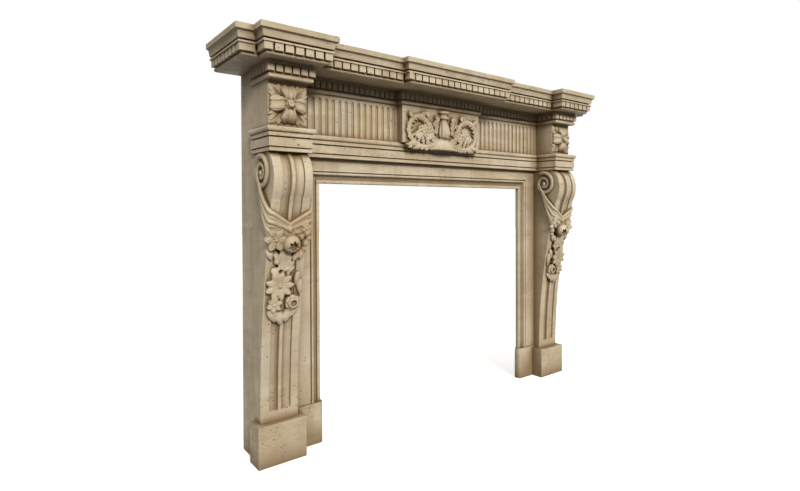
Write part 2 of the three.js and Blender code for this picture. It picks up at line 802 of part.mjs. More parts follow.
// The draped cloth from the outer volute's eye round to the middle of the front.
function swag() {
  const samples = SWAG_FOLDS * 2;
  return loft(SWAG_STATIONS.map(({ across, depth, level, width }, k) => {
    const onSide = depth > 0;
    const atArris = k > 0 && !onSide && SWAG_STATIONS[k - 1].depth > 0;
    const place = consolePlace(across, level);
    const out = onSide ? new THREE.Vector3(1, 0, 0) : place.out.clone();
    if (atArris) {
      out.add(new THREE.Vector3(0.8, 0, 0)).normalize();
    }
    if (onSide) {
      place.at.y = -depth;
    }
    const fall = onSide ? SWAG_FALL_SIDE : SWAG_FALL_FRONT;
    const relief = SWAG_RELIEF * Math.min(1, width / SWAG_FULL_WIDTH);
    const ring = [];
    for (let i = 0; i <= samples; i += 1) {
      const ridge = i % 2 === 1 ? 1 : 0.3;
      ring.push(place.at.clone()
        .addScaledVector(fall, (i / samples - 0.5) * width)
        .addScaledVector(out, relief * ridge));
    }
    ring.push(place.at.clone().addScaledVector(fall, width / 2).addScaledVector(out, -SINK * 2));
    ring.push(place.at.clone().addScaledVector(fall, -width / 2).addScaledVector(out, -SINK * 2));
    return ring.reverse();
  }));
}

// Fruit, leaves and flowers that hang below the cloth.
function fruitDrop() {
  const forms = DROP_FRUIT.map(([across, z, radius], k) => {
    const lift = radius * (k === 0 ? LARGE_FRUIT_LIFT : SMALL_FRUIT_LIFT);
    return placed(ball(radius, k === 0 ? 1 : 0), consolePlace(across, z, lift));
  });
  for (const [across, z, length, angle] of DROP_LEAVES) {
    const form = leaf(length, length * DROP_LEAF_BREADTH, DROP_LEAF_THICK, DROP_LEAF_CURL);
    forms.push(placed(form, consolePlace(across, z), angle));
  }
  for (const [across, z, petals, radius, thick] of DROP_FLOWERS) {
    forms.push(flower(consolePlace(across, z), petals, radius, thick));
  }
  return forms;
}

// The right console: fluted shaft, side volutes, cloth swag and fruit drop, cut from one block.
function consoleLeg() {
  const outer = [volute(), swag()];
  const inner = outer.map((form) => mirroredAbout(form, LEG_AXIS));
  const low = PLINTH_TOP + JOINT;
  const high = ARCHITRAVE_BOTTOM - JOINT;
  const room = box(OPENING_HALF, SHELF_HALF, 0, LEG_SHELF, low, high);
  return join([consoleBody(), ...outer, ...inner, ...fruitDrop()]).intersect(room);
}

// The same form on the other hand of a vertical plane.
function mirroredAbout(solid, x) {
  const geometry = geometryOf(solid);
  geometry.translate(-x, 0, 0);
  geometry.scale(-1, 1, 1);
  geometry.translate(x, 0, 0);
  const order = geometry.index.array;
  for (let i = 0; i < order.length; i += 3) {
    [order[i], order[i + 1]] = [order[i + 1], order[i]];
  }
  return solidOf(geometry);
}

function mirrored(solid) {
  return mirroredAbout(solid, 0);
}

// The chimneypiece, with its origin on the floor in the middle of the box that holds it.
const chimneypiece = new THREE.Group();
chimneypiece.position.y = LEG_SHELF / 2;

function addStone(name, solid) {
  const geometry = geometryOf(solid).toNonIndexed();
  geometry.computeVertexNormals();
  const mesh = new THREE.Mesh(geometry, new THREE.MeshStandardMaterial(STONE));
  mesh.name = name;
  chimneypiece.add(mesh);
}

function addPair(name, solid) {
  addStone(`${name}_left`, mirrored(solid));
  addStone(`${name}_right`, solid);
}

addPair('console_plinth', consolePlinth());
addPair('console', consoleLeg());
addPair('console_cap', consoleCap());
addPair('frieze_block', friezeBlock());
addPair('side_return', sideReturn());
addPair('jamb_plinth', jambPlinth());
addPair('jamb', jamb());
addStone('lintel', lintel());
addStone('architrave', architrave());
addPair('frieze_panel', friezePanel());
addStone('frieze_tablet', friezeTablet());
addStone('dentil_cornice', dentilCornice());
addStone('mantel_shelf', mantelShelf());

export default chimneypiece;
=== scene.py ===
import math
import bpy
import numpy as np
from mathutils import Matrix, Vector


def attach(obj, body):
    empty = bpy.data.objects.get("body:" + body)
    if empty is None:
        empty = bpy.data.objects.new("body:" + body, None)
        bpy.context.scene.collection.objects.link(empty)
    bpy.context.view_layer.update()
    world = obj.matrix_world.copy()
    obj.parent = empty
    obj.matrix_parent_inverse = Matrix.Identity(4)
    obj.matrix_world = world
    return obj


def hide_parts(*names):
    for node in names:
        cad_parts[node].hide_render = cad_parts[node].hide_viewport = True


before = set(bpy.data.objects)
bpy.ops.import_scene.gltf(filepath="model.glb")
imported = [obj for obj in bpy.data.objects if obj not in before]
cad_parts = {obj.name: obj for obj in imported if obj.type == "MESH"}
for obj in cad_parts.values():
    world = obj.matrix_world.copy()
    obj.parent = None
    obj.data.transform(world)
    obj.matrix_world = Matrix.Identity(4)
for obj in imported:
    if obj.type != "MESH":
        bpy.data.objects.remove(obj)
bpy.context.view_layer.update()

# The studio: a pale floor under the chimneypiece, one large soft light high in front of it, and a
# weak light from all round above. The camera stands in front of the left end, at chest height.
scene = bpy.context.scene
scene.view_settings.view_transform = "Standard"
CAMERA_PLACE = Vector((-1.4522, -1.6426, 0.8621))
CAMERA_YAW = math.radians(38.55)
CAMERA_PITCH = math.radians(-0.694)
CAMERA_ROLL = math.radians(-0.175)
FOCAL_PX = 516.8
CENTRE_PX = (416.5, 212.3)
IMAGE_PX = (800, 491)
SENSOR_MM = 36
heading = Vector((math.sin(CAMERA_YAW), math.cos(CAMERA_YAW), 0))
right = Vector((math.cos(CAMERA_YAW), -math.sin(CAMERA_YAW), 0))
upright = Vector((0, 0, 1))
ahead = heading * math.cos(CAMERA_PITCH) + upright * math.sin(CAMERA_PITCH)
above = upright * math.cos(CAMERA_PITCH) - heading * math.sin(CAMERA_PITCH)
across = right * math.cos(CAMERA_ROLL) + above * math.sin(CAMERA_ROLL)
above = above * math.cos(CAMERA_ROLL) - right * math.sin(CAMERA_ROLL)
turn = Matrix((across, above, -ahead)).transposed().to_4x4()
camera = bpy.data.objects.new("camera", bpy.data.cameras.new("camera"))
scene.collection.objects.link(camera)
camera.matrix_world = Matrix.Translation(CAMERA_PLACE) @ turn
camera.data.sensor_width = SENSOR_MM
camera.data.lens = FOCAL_PX / IMAGE_PX[0] * SENSOR_MM
camera.data.shift_x = (IMAGE_PX[0] / 2 - CENTRE_PX[0]) / IMAGE_PX[0]
camera.data.shift_y = (CENTRE_PX[1] - IMAGE_PX[1] / 2) / IMAGE_PX[0]
scene.camera = camera

# Lights, as name, bearing from straight in front, height above the floor, strength, softness and colour
for name, bearing, height, strength, softness, colour in (
        ("key", -13, 27, 2.9, 14, (1.0, 0.97, 0.92)),
        ("left_fill", -68, 28, 0.22, 50, (0.97, 0.98, 1.0))):
    side, lift = math.radians(bearing), math.radians(height)
    towards = Vector((math.sin(side) * math.cos(lift), -math.cos(side) * math.cos(lift), math.sin(lift)))
    light = bpy.data.objects.new(name, bpy.data.lights.new(name, "SUN"))
    scene.collection.objects.link(light)
    light.rotation_euler = towards.to_track_quat("Z", "Y").to_euler()
    light.data.energy = strength
    light.data.angle = math.radians(softness)
    light.data.color = colour

world = bpy.data.worlds.new("studio")
scene.world = world
world.use_nodes = True
nodes, links = world.node_tree.nodes, world.node_tree.links
nodes.clear()
place = nodes.new("ShaderNodeTexCoord")
split = nodes.new("ShaderNodeSeparateXYZ")
links.new(place.outputs["Generated"], split.inputs[0])
sky = nodes.new("ShaderNodeMapRange")
sky.inputs["From Min"].default_value = -0.25
sky.inputs["From Max"].default_value = 0.7
sky.inputs["To Min"].default_value = 0.05
sky.inputs["To Max"].default_value = 0.60
links.new(split.outputs["Z"], sky.inputs["Value"])
glow = nodes.new("ShaderNodeBackground")
glow.inputs["Color"].default_value = (1.0, 0.98, 0.95, 1)
links.new(sky.outputs[0], glow.inputs["Strength"])
white = nodes.new("ShaderNodeBackground")
white.inputs["Color"].default_value = (1, 1, 1, 1)
path = nodes.new("ShaderNodeLightPath")
seen = nodes.new("ShaderNodeMixShader")
links.new(path.outputs["Is Camera Ray"], seen.inputs[0])
links.new(glow.outputs[0], seen.inputs[1])
links.new(white.outputs[0], seen.inputs[2])
out = nodes.new("ShaderNodeOutputWorld")
links.new(seen.outputs[0], out.inputs[0])

FLOOR_HALF = 14
floor_mesh = bpy.data.meshes.new("floor")
floor_mesh.from_pydata([(x * FLOOR_HALF, y * FLOOR_HALF, 0) for x, y in ((-1, -1), (1, -1), (1, 1), (-1, 1))],
                       [], [(0, 1, 2, 3)])
floor = bpy.data.objects.new("floor", floor_mesh)
scene.collection.objects.link(floor)
floor.visible_diffuse = False
paint = bpy.data.materials.new("pale_floor")
paint.use_nodes = True
pale = paint.node_tree.nodes["Principled BSDF"]
pale.inputs["Base Color"].default_value = (0.93, 0.93, 0.92, 1)
pale.inputs["Roughness"].default_value = 0.9
pale.inputs["Emission Color"].default_value = (1, 1, 1, 1)
pale.inputs["Emission Strength"].default_value = 0.55
floor_mesh.materials.append(paint)


# The two console legs: each cut from one block of travertine, with a fluted front that swells into a
# scroll, a spiral on each side, and a cloth hung from the spirals with fruit and flowers below it. They
# stand dry on their plinths. The carving is worn soft, and pits in the stone are left open.
# Sizes are in millimetres, depths are distances from the wall.
WALL_PLANE = 173.0
LEG_AXIS, LEG_HALF, LEG_BACK = 728.4, 67.6, 110.0
CONSOLE_LOW, CONSOLE_HIGH = 139.3, 1037.7
SHAFT_FOOT, SHAFT_DEPTH, SHAFT_SWELL = 139, 160, 123
SCROLL_LEVEL, SCROLL_RADIUS, SCROLL_DEPTH, SCROLL_REACH = 952, 92, 213, 70
VOLUTE_DEPTH, VOLUTE_LEVEL, VOLUTE_REACH, VOLUTE_EYE = 193, 970, 58, 13
VOLUTE_START, VOLUTE_TURNS, VOLUTE_STEPS = 0.35, 1.75, 110
CLOTH_FOLDS, CLOTH_EDGE = 6, 70
# Fluting of the front, as share of the half width and depth: a bead, a deep quirk, a hollow and a band
FLUTING = np.array([(0, 0), (0.06, 0.3), (0.09, 1.5), (0.11, 5), (0.12, 12), (0.16, 13), (0.28, 11),
                    (0.42, 8.5), (0.52, 6.5), (0.555, 6), (0.565, 0), (0.94, 0), (0.98, 0.7), (1, 2.6)])
FLUTES_HALF, FLUTES_FOOT, FLUTES_RUNOUT = 0.7, 171, 7


def travertine():
    """Honed, unfilled travertine: clouded beds, stains, open pits, browner towards the floor, and dark brown
    in the hollows, partly grime and partly painted shade.
    """
    stone = bpy.data.materials.new("travertine")
    stone.use_nodes = True
    tree = stone.node_tree
    nodes, links = tree.nodes, tree.links
    bsdf = nodes["Principled BSDF"]
    bsdf.inputs["Specular IOR Level"].default_value = 0.3

    def node(kind, **settings):
        made = nodes.new(kind)
        for key, value in settings.items():
            setattr(made, key, value)
        return made

    def noise(vector, scale, detail=4.0, rough=0.55):
        made = node("ShaderNodeTexNoise")
        made.inputs["Scale"].default_value = scale
        made.inputs["Detail"].default_value = detail
        made.inputs["Roughness"].default_value = rough
        links.new(vector, made.inputs["Vector"])
        return made.outputs["Fac"]

    def ramp(value, low, high, to_low=0.0, to_high=1.0):
        made = node("ShaderNodeMapRange", interpolation_type="SMOOTHSTEP")
        links.new(value, made.inputs["Value"])
        for name, number in (("From Min", low), ("From Max", high), ("To Min", to_low), ("To Max", to_high)):
            made.inputs[name].default_value = number
        return made.outputs[0]

    def maths(kind, a, b):
        made = node("ShaderNodeMath", operation=kind)
        for socket, value in zip(made.inputs, (a, b)):
            if isinstance(value, (int, float)):
                socket.default_value = value
            else:
                links.new(value, socket)
        return made.outputs[0]

    def colour_pick(node_, name):
        return [s for s in node_.inputs if s.name == name and s.type == "RGBA"][0]

    def mix(share, base, colour):
        made = node("ShaderNodeMix", data_type="RGBA")
        links.new(share, made.inputs[0])
        for name, value in (("A", base), ("B", colour)):
            socket = colour_pick(made, name)
            if isinstance(value, tuple):
                socket.default_value = (*value, 1)
            else:
                links.new(value, socket)
        return [s for s in made.outputs if s.type == "RGBA"][0]

    place = node("ShaderNodeTexCoord").outputs["Object"]
    one = node("ShaderNodeObjectInfo").outputs["Random"]
    shift = node("ShaderNodeVectorMath", operation="SCALE")
    shift.inputs[0].default_value = (7.0, 11.0, 5.0)
    links.new(one, shift.inputs["Scale"])
    own = node("ShaderNodeVectorMath", operation="ADD")
    links.new(place, own.inputs[0])
    links.new(shift.outputs[0], own.inputs[1])
    own = own.outputs[0]

    def stretched(factors):
        made = node("ShaderNodeVectorMath", operation="MULTIPLY")
        made.inputs[1].default_value = factors
        links.new(own, made.inputs[0])
        return made.outputs[0]

    flat = stretched((1.0, 1.0, 5.0))
    tall = stretched((1.0, 1.0, 0.10))
    drawn = stretched((0.55, 0.8, 1.5))

    # Clouded ground, brown and pale beds, tan stains and fine dark grain
    colour = mix(ramp(noise(own, 5.0, 7.0, 0.62), 0.32, 0.68), (0.50, 0.405, 0.265), (0.66, 0.565, 0.405))
    colour = mix(ramp(noise(flat, 8.0, 9.0, 0.65), 0.50, 0.70, 0.0, 0.55), colour, (0.43, 0.325, 0.195))
    colour = mix(ramp(noise(flat, 3.1, 5.0), 0.54, 0.68, 0.0, 0.55), colour, (0.72, 0.64, 0.505))
    colour = mix(ramp(noise(own, 2.6, 4.0), 0.57, 0.70, 0.0, 0.50), colour, (0.50, 0.34, 0.165))
    colour = mix(ramp(noise(own, 170.0, 3.0), 0.44, 0.30, 0.0, 0.40), colour, (0.33, 0.245, 0.145))

    # Upright streaks and grey patches
    colour = mix(ramp(noise(tall, 22.0, 6.0, 0.6), 0.50, 0.68, 0.0, 0.40), colour, (0.36, 0.28, 0.185))
    colour = mix(ramp(noise(own, 3.6, 4.0), 0.56, 0.68, 0.0, 0.40), colour, (0.58, 0.545, 0.46))

    # Open pits in patches, drawn out along the bedding
    cells = node("ShaderNodeTexVoronoi", feature="F1")
    cells.inputs["Scale"].default_value = 75.0
    links.new(drawn, cells.inputs["Vector"])
    pit = ramp(cells.outputs["Distance"], 0.24, 0.12)
    where = ramp(noise(own, 9.0, 3.0), 0.47, 0.58)
    pit = maths("MULTIPLY", pit, where)
    colour = mix(maths("MULTIPLY", pit, 0.85), colour, (0.15, 0.095, 0.05))

    # Dark brown where the stone is hemmed in, wide in the recesses and dark in the quirks: partly grime,
    # partly painted shade, as reach, openness of bare stone, openness of the darkest stone, and strongest
    # share
    # Browner and darker towards the floor
    height = node("ShaderNodeSeparateXYZ")
    links.new(node("ShaderNodeNewGeometry").outputs["Position"], height.inputs[0])
    colour = mix(ramp(height.outputs["Z"], 0.9, 0.0, 0.0, 0.32), colour, (0.28, 0.20, 0.115))
    # Occlusion darkens corners, recesses and undersides brown: painted shade, with some real grime in the
    # hollows
    for distance, bare_openness, darkest_openness, most in ((0.10, 0.93, 0.58, 0.78), (0.024, 0.97, 0.35, 0.85)):
        shade = node("ShaderNodeAmbientOcclusion", samples=8)
        shade.inputs["Distance"].default_value = distance
        dirt_and_painted_shade = ramp(shade.outputs["AO"], bare_openness, darkest_openness, 0.0, most)
        colour = mix(dirt_and_painted_shade, colour, (0.195, 0.125, 0.058))
    links.new(colour, bsdf.inputs["Base Color"])

    rough = ramp(noise(own, 30.0), 0.3, 0.7, 0.52, 0.74)
    links.new(rough, bsdf.inputs["Roughness"])
    grain = maths("ADD", maths("MULTIPLY", noise(own, 220.0, 4.0), 0.35), maths("MULTIPLY", pit, -1.6))
    bump = node("ShaderNodeBump")
    bump.inputs["Strength"].default_value = 0.55
    bump.inputs["Distance"].default_value = 0.0016
    links.new(grain, bump.inputs["Height"])
    links.new(bump.outputs[0], bsdf.inputs["Normal"])
    return stone


STONE = travertine()


def to_metres(points):
    """Points as (x, distance from the wall, height) in millimetres become points of the model."""
    points = np.asarray(points, float)
    return np.stack([points[:, 0], WALL_PLANE - points[:, 1], points[:, 2]], 1) / 1000.0


def console_front(z):
    """Depth of the console's front at a height: the swelling shaft, then the round of the scroll."""
    z = np.asarray(z, float)
    rise = (np.minimum(z, SCROLL_LEVEL) - SHAFT_FOOT) / (SCROLL_LEVEL - SHAFT_FOOT)
    shaft = np.where(z > SCROLL_LEVEL, 0, SHAFT_DEPTH + SHAFT_SWELL * rise * rise)
    swing = np.clip(1 - ((z - SCROLL_LEVEL) / SCROLL_RADIUS) ** 2, 0, None)
    scroll = SCROLL_DEPTH + SCROLL_REACH * np.sqrt(swing)
    return np.maximum(shaft, np.where(np.abs(z - SCROLL_LEVEL) < SCROLL_RADIUS, scroll, 0))


def mesh_of(parts):
    """One list of points and faces out of several."""
    points, faces, first = [], [], 0
    for some, own in parts:
        points.append(np.asarray(some, float))
        faces.extend(tuple(i + first for i in face) for face in own)
        first += len(some)
    return np.concatenate(points), faces


def net(rows, cols, closed=False, first=0):
    """Faces of a net of rows and columns of points; closed joins its last column to its first."""
    faces = []
    for r in range(rows - 1):
        for c in range(cols if closed else cols - 1):
            d = (c + 1) % cols
            faces.append((first + r * cols + c, first + r * cols + d,
                          first + (r + 1) * cols + d, first + (r + 1) * cols + c))
    return faces


def capped(rings, sides):
    """Faces of a row of rings of points, closed at both ends."""
    last = (rings - 1) * sides
    return net(rings, sides, True) + [tuple(range(sides))[::-1], tuple(range(last, last + sides))]


def tube(path, radii, sides=12):
    """A closed rod along a path."""
    path = np.asarray(path, float)
    count = len(path)
    radii = np.interp(np.linspace(0, 1, count), np.linspace(0, 1, len(radii)), radii)
    along = np.gradient(path, axis=0)
    along /= np.linalg.norm(along, axis=1)[:, None]
    side = np.cross(along[0], (0.0, 1.0, 0.0))
    if np.linalg.norm(side) < 0.2:
        side = np.cross(along[0], (1.0, 0.0, 0.0))
    angles = np.arange(sides) / sides * 2 * math.pi
    points = []
    for k in range(count):
        side = side - along[k] * side.dot(along[k])
        side /= np.linalg.norm(side)
        out = np.cross(side, along[k])
        points.append(path[k] + np.outer(np.cos(angles) * radii[k], side)
                      + np.outer(np.sin(angles) * radii[k], out))
    return np.concatenate(points), capped(count, sides)


def smooth_path(stops, count=40):
    """A smooth curve through a few stops."""
    stops = np.asarray(stops, float)
    pads = np.concatenate([[2 * stops[0] - stops[1]], stops, [2 * stops[-1] - stops[-2]]])
    curve = []
    for t in np.linspace(0, len(stops) - 1 - 1e-9, count):
        i = int(t)
        s = t - i
        a, b, c, d = pads[i:i + 4]
        bend, twist = 2 * a - 5 * b + 4 * c - d, 3 * b - a - 3 * c + d
        curve.append(0.5 * (2 * b + (c - a) * s + bend * s * s + twist * s ** 3))
    return np.array(curve)


def blade(length, width, rise, curl=0.0, point=0.6, groove=0.0, ribs=0, rib=0.0, lobes=0, lobe=0.0):
    """A leaf or petal on local x (across), y (along) and z (out), solid down to below its ground.
    point moves its widest place out, groove sinks its middle line, lobes notch its edge."""
    rows, cols, sink = 26, 17, 9.0
    u = np.linspace(0, 1, rows)[:, None]
    v = np.linspace(-1, 1, cols)[None, :]
    belly = np.sin(math.pi * u ** point) ** 0.75 * (1 - 0.25 * (1 - u)) + 0.10 * (1 - u)
    edge = 1 - lobe * (0.5 + 0.5 * np.cos(2 * math.pi * lobes * u)) if lobes else 1
    half = width / 2 * belly * edge
    x = v * half
    y = length * u + 0 * v
    z = rise * np.sin(math.pi * (0.12 + 0.80 * u)) * (1 - 0.62 * v * v) + curl * u ** 3
    z = z - groove * np.exp(-(v / 0.16) ** 2) * np.sin(math.pi * np.clip(u * 1.1, 0, 1))
    if ribs:
        z = z + rib * np.cos(math.pi * ribs * (np.abs(v) - 0.35 * u)) * np.sin(math.pi * u)
    top = np.stack([x, y, z], 2).reshape(-1, 3)
    low = top.copy()
    low[:, 2] = -sink
    low[:, :2] = low[:, :2] * [0.92, 0.98]
    faces = net(rows, cols) + [f[::-1] for f in net(rows, cols, first=rows * cols)]
    rim = list(range(cols)) + [r * cols + cols - 1 for r in range(1, rows)]
    rim += [(rows - 1) * cols + c for c in range(cols - 2, -1, -1)]
    rim += [r * cols for r in range(rows - 2, 0, -1)]
    for a, b in zip(rim, rim[1:] + rim[:1]):
        faces.append((b, a, a + rows * cols, b + rows * cols))
    return np.concatenate([top, low]), faces


def globe(radius, tall=1.0):
    """A ball on local axes with its pole along y."""
    rings, sides = 18, 28
    lat = np.linspace(0.03, math.pi - 0.03, rings)
    lon = np.arange(sides) / sides * 2 * math.pi
    reach = radius * np.sin(lat)[:, None]
    y = radius * tall * np.cos(lat)[:, None] + 0 * lon[None, :]
    points = np.stack([reach * np.cos(lon), y, reach * np.sin(lon)], 2).reshape(-1, 3)
    return points, capped(rings, sides)


def turned(part, angle=0.0, tilt=0.0, shift=(0, 0, 0)):
    """A part tilted about local x, then spun about local z, then moved."""
    points, faces = part
    c, s = math.cos(tilt), math.sin(tilt)
    points = np.asarray(points) @ np.array([[1, 0, 0], [0, c, s], [0, -s, c]])
    c, s = math.cos(angle), math.sin(angle)
    return points @ np.array([[c, s, 0], [-s, c, 0], [0, 0, 1]]) + np.array(shift, float), faces


def bloom(petals, radius, rise, width=1.0, curl=0.0, heart=0.24, groove=1.2):
    """A flower on local axes: petals round a button."""
    parts = []
    for k in range(petals):
        petal = blade(radius, radius * width * 2.6 / petals + 4, rise, curl=curl, point=1.25, groove=groove)
        parts.append(turned(petal, k / petals * 2 * math.pi))
    parts.append(turned(globe(radius * heart), shift=(0, 0, rise * 0.75)))
    return mesh_of(parts)


def rose(radius, rise):
    """A half open rose on local axes: petals standing round a deep heart."""
    parts = []
    for ring, (reach, size, tip) in enumerate(((1.0, 1.05, 0.35), (0.72, 0.85, 0.85))):
        for k in range(6):
            petal = blade(radius * reach, radius * size, rise * 0.55, curl=rise * tip, point=1.5)
            parts.append(turned(petal, (k + ring * 0.5) / 6 * 2 * math.pi))
    lip = [(radius * 0.5 * math.cos(a), radius * 0.5 * math.sin(a), rise * 0.95)
           for a in np.linspace(0, 6.1, 24)]
    parts.append(tube(lip, [3.4]))
    return mesh_of(parts)


def on_console(part, out, z, lift=0.0, angle=0.0, tilt=0.0):
    """Puts a part made on local axes on the front of the right console, out from its middle line."""
    points, faces = turned(part, angle, tilt)
    slope = float(console_front(z + 2) - console_front(z - 2)) / 4
    norm = math.hypot(1, slope)
    face = np.array([0, 1, -slope]) / norm
    up = np.array([0, slope, 1]) / norm
    at = np.array([LEG_AXIS + out, float(console_front(z)), z]) + face * lift
    placed = (at + np.outer(points[:, 0], [1, 0, 0]) + np.outer(points[:, 1], up)
              + np.outer(points[:, 2], face))
    return placed, faces


def console_body():
    """The fluted block, without its carving."""
    front = np.concatenate([-np.linspace(0, 1, 61)[::-1], np.linspace(0, 1, 61)[1:]])
    depth = np.interp(np.abs(front), FLUTING[:, 0], FLUTING[:, 1])
    levels = np.concatenate([np.linspace(CONSOLE_LOW, 185, 16), np.linspace(190, 1020, 150),
                             np.linspace(1022, CONSOLE_HIGH, 14)])
    backs = np.linspace(0, 1, 7)[1:]
    points = []
    for z in levels:
        run = np.clip((z - FLUTES_FOOT) / FLUTES_RUNOUT, 0, 1)
        face = float(console_front(z))
        row = [(LEG_AXIS + t * LEG_HALF, face - d * (run if abs(t) < FLUTES_HALF else 1), z)
               for t, d in zip(front, depth)]
        edge = row[-1][1]
        row += [(LEG_AXIS + LEG_HALF, edge + (LEG_BACK - edge) * b, z) for b in backs]
        row += [(LEG_AXIS - LEG_HALF, LEG_BACK + (edge - LEG_BACK) * b, z)
                for b in np.concatenate([[0], backs[:-1]])]
        points += row
    return points, capped(len(levels), len(points) // len(levels))


def console_sides():
    """Volutes and hanging cloth, on both sides of the right leg."""
    parts = []
    for side in (1, -1):
        face = LEG_AXIS + side * LEG_HALF
        turns = np.linspace(0, 1, VOLUTE_STEPS)
        angle = math.pi * VOLUTE_START + turns * VOLUTE_TURNS * 2 * math.pi
        reach = VOLUTE_REACH + (VOLUTE_EYE - VOLUTE_REACH) * turns ** 0.9
        spiral = np.stack([np.full(VOLUTE_STEPS, face + side * 3), VOLUTE_DEPTH - np.cos(angle) * reach,
                           VOLUTE_LEVEL + np.sin(angle) * reach], 1)
        parts.append(tube(spiral, [10, 9.5, 8.5, 7, 6], 14))
        points, faces = globe(VOLUTE_EYE)
        parts.append((points[:, [2, 0, 1]] + [face, VOLUTE_DEPTH, VOLUTE_LEVEL], faces))
        for k in range(CLOTH_FOLDS):
            q = k / (CLOTH_FOLDS - 1)
            # The ridge of a fold on the side, as out, depth and level, then round the corner to the middle
            stops = [(74, 160 + 3 * q, 977 - 28 * q), (77, 186 + q, 930 - 20 * q),
                     (77, 216 - 9 * q, 889 - 38 * q), (76, 237 - 15 * q, 866 - 62 * q)]
            high, low = 846 - 74 * q, 803 - 40 * q
            for out in (CLOTH_EDGE, 58, 40, 20, 0):
                z = high + (low - high) * (1 - out / CLOTH_EDGE)
                stops.append((out, float(console_front(z)) + (0 if out == CLOTH_EDGE else 5), z))
            path = smooth_path([(LEG_AXIS + side * a, b, c) for a, b, c in stops], 70)
            thick = 1.15 if k % 2 == 0 else 0.72
            parts.append(tube(path, np.array([3, 4.5, 6, 6.5, 7, 7, 6.5, 6]) * thick, 12))
    return parts


def torn_fruit(radius):
    """A ripe pomegranate on local axes, its skin torn open round a hollow at the end of y."""
    sides, teeth = 56, 7
    angles = np.arange(sides) / sides * 2 * math.pi
    rim = 2.34 + 0.34 * np.abs(np.mod(angles / (2 * math.pi) * teeth, 1) * 2 - 1)
    rows = [(np.sin(share * rim), -np.cos(share * rim)) for share in np.linspace(0.02, 1, 20)]
    edge, lip = rows[-1]
    hollow = ((0.90, 0.95), (0.84, 0.7), (0.7, 0.4), (0.4, 0.2), (0.04, 0.15))
    rows += [(edge * share, lip * level) for share, level in hollow]
    points = [np.stack([reach * np.cos(angles), y, reach * np.sin(angles)], 1) for reach, y in rows]
    return np.concatenate(points) * radius, capped(len(rows), sides)


def console_drop():
    """Fruit, leaves and flowers under the cloth of the right leg; out is towards the outer side."""
    parts = [on_console(torn_fruit(30), -5, 745, 17, 2.9, 1.32)]
    # Small fruit, as out, level and radius
    for out, z, radius in ((-62, 777, 14), (-70, 758, 11), (-60, 741, 12), (-57, 722, 10), (-44, 762, 11),
                           (34, 684, 11), (-5, 658, 9), (-16, 652, 8), (4, 655, 8), (-8, 643, 8),
                           (-24, 660, 7), (-3, 493, 10)):
        parts.append(on_console(globe(radius, tall=1.1), out, z, radius * 0.35))
    # Leaves, as out, level, length, width, angle and rise
    for out, z, length, width, angle, rise in ((2, 806, 36, 22, 3.05, 16), (-16, 790, 26, 18, 2.6, 12),
                                               (64, 726, 40, 26, 2.9, 12), (40, 716, 34, 20, 3.0, 9),
                                               (-50, 722, 38, 24, -3.0, 12), (-36, 716, 40, 24, -2.8, 11),
                                               (44, 664, 40, 30, 2.7, 11), (-10, 660, 30, 18, 0.6, 10),
                                               (-22, 664, 30, 18, -0.6, 10), (-46, 646, 50, 24, -2.9, 12),
                                               (-50, 622, 62, 28, 3.05, 13), (44, 530, 54, 40, 2.85, 13),
                                               (16, 516, 50, 36, 3.0, 14), (-20, 522, 50, 34, -2.85, 13),
                                               (-44, 528, 40, 28, -2.7, 12)):
        leaf = blade(length, width, rise, groove=4.5, ribs=3, rib=1.1, curl=4)
        parts.append(on_console(leaf, out, z, 2, angle))
    # The reeded stem, spreading downwards, then open flowers and a rose
    for k in range(5):
        reed = []
        for t in np.linspace(0, 1, 12):
            z = 728 - 74 * t
            reed.append((LEG_AXIS + 6 + (k - 2) * (8.2 + 1.5 * t), float(console_front(z)) + 6, z))
        parts.append(tube(reed, [3.9, 4.2], 12))
    parts.append(on_console(bloom(6, 40, 10, 1.35, curl=8, heart=0.15, groove=4), 46, 757, 9, 0.5))
    parts.append(on_console(bloom(9, 50, 11, 1.55, curl=8, heart=0.12, groove=3.6), 20, 602, 6, 0.15))
    parts.append(on_console(bloom(6, 27, 10, 1.3, curl=7, heart=0.2, groove=3), 35, 540, 9, 0.2))
    parts.append(on_console(rose(27, 18), -27, 543, 8))
    parts.append(on_console(bloom(6, 20, 9, 1.2, curl=4), -58, 792, 8, 0.1))
    return parts


def carved(name, parts, voxel):
    """Joins overlapping parts into one worn surface of stone."""
    points, faces = mesh_of(parts)
    rough = bpy.data.meshes.new(name + "_rough")
    rough.from_pydata(to_metres(points).tolist(), [], faces)
    holder = bpy.data.objects.new(name + "_rough", rough)
    scene.collection.objects.link(holder)
    remesh = holder.modifiers.new("one_stone", "REMESH")
    remesh.mode = "VOXEL"
    remesh.voxel_size = voxel
    wear = holder.modifiers.new("wear", "SMOOTH")
    wear.factor = 0.5
    wear.iterations = 1
    graph = bpy.context.evaluated_depsgraph_get()
    mesh = bpy.data.meshes.new_from_object(holder.evaluated_get(graph))
    bpy.data.objects.remove(holder)
    bpy.data.meshes.remove(rough)
    mesh.name = name
    mesh.shade_smooth()
    return mesh


def stone_piece(name, mesh, *replaced):
    """A carved piece in the model: finish, body and the CAD stones it stands for."""
    piece = bpy.data.objects.new(name, mesh)
    scene.collection.objects.link(piece)
    mesh.materials.clear()
    mesh.materials.append(STONE)
    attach(piece, "root")
    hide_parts(*replaced)
    return piece


def mirror_mesh(mesh, name):
    """A copy of a mesh for the left side, mirrored in the middle plane."""
    twin = mesh.copy()
    twin.name = name
    twin.transform(Matrix.Diagonal((-1, 1, 1, 1)))
    twin.flip_normals()
    return twin


